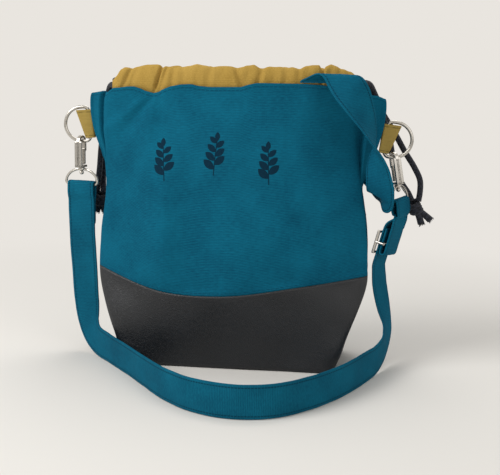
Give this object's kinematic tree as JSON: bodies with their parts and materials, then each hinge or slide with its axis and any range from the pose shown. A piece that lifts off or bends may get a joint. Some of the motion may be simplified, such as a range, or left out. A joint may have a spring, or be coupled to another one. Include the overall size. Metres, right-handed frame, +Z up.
{
  "type": "kinchaku drawstring pouch",
  "caption": "Teal canvas drawstring pouch with black faux-leather base, mustard gathered collar, black drawcords, clip-on shoulder strap and carry loop",
  "frame": {"origin": "centre of the base's underside, on the surface the pouch stands on", "axes": "+X to the pouch's right as seen from the front, -Y out of the front panel, +Z up"},
  "size_m": [0.3813, 0.2551, 0.2995],
  "materials": {
    "teal_canvas": "matte woven",
    "mustard_cotton": "matte woven",
    "lining_cotton": "matte woven",
    "black_leathercloth": "satin grained",
    "black_cord": "matte braided",
    "nickel": "bright plated"
  },
  "bodies": {
    "bag": {"front_panel": "teal_canvas", "back_panel": "teal_canvas", "base_panel": "black_leathercloth", "lining": "lining_cotton", "front_casing": "mustard_cotton", "back_casing": "mustard_cotton", "left_tab": "mustard_cotton", "left_eye": "nickel", "right_tab": "mustard_cotton", "right_eye": "nickel", "shoulder_strap": "teal_canvas", "carry_loop": "teal_canvas", "left_cord_run": "black_cord", "right_cord_run": "black_cord", "left_cord_front": "black_cord", "left_cord_back": "black_cord", "right_cord_front": "black_cord", "right_cord_back": "black_cord", "left_cord_knot": "black_cord", "right_cord_knot": "black_cord"},
    "left_ring": {"left_ring": "nickel"},
    "right_ring": {"right_ring": "nickel"},
    "left_hook": {"left_hook": "nickel"},
    "right_hook": {"right_hook": "nickel"},
    "left_gate": {"left_gate": "nickel"},
    "right_gate": {"right_gate": "nickel"},
    "strap_slider": {"strap_slider": "nickel"}
  },
  "joints": [
    {"name": "left_ring_swing", "type": "hinge", "parent": "bag", "child": "left_ring", "pos_m": [-0.1523, 0, 0.2392], "axis": [-0.0698, 0, 0.9976], "range_deg": [-8, 5]},
    {"name": "right_ring_swing", "type": "hinge", "parent": "bag", "child": "right_ring", "pos_m": [0.151, 0, 0.23], "axis": [0.1219, 0, 0.9925], "range_deg": [-5, 8]},
    {"name": "left_hook_swivel", "type": "hinge", "parent": "bag", "child": "left_hook", "pos_m": [-0.16125, 0, 0.19418], "axis": [0, 0, 1], "range_deg": [0, 20]},
    {"name": "right_hook_swivel", "type": "hinge", "parent": "bag", "child": "right_hook", "pos_m": [0.16395, 0, 0.18491], "axis": [-0.1736, 0, 0.9848], "range_deg": [-20, 0]},
    {"name": "left_gate_open", "type": "hinge", "parent": "left_hook", "child": "left_gate", "pos_m": [-0.16051, 0.00352, 0.19838], "axis": [0.9781, -0.2079, 0], "range_deg": [0, 18], "stiffness_Nm_per_rad": 0.01},
    {"name": "right_gate_open", "type": "hinge", "parent": "right_hook", "child": "right_gate", "pos_m": [0.16172, 0.00326, 0.18878], "axis": [0.8925, 0.4226, 0.1574], "range_deg": [0, 18], "stiffness_Nm_per_rad": 0.01},
    {"name": "slider_slide", "type": "slide", "parent": "bag", "child": "strap_slider", "axis": [0.2501, 0, 0.9682], "range_m": [-0.008, 0.004]}
  ]
}
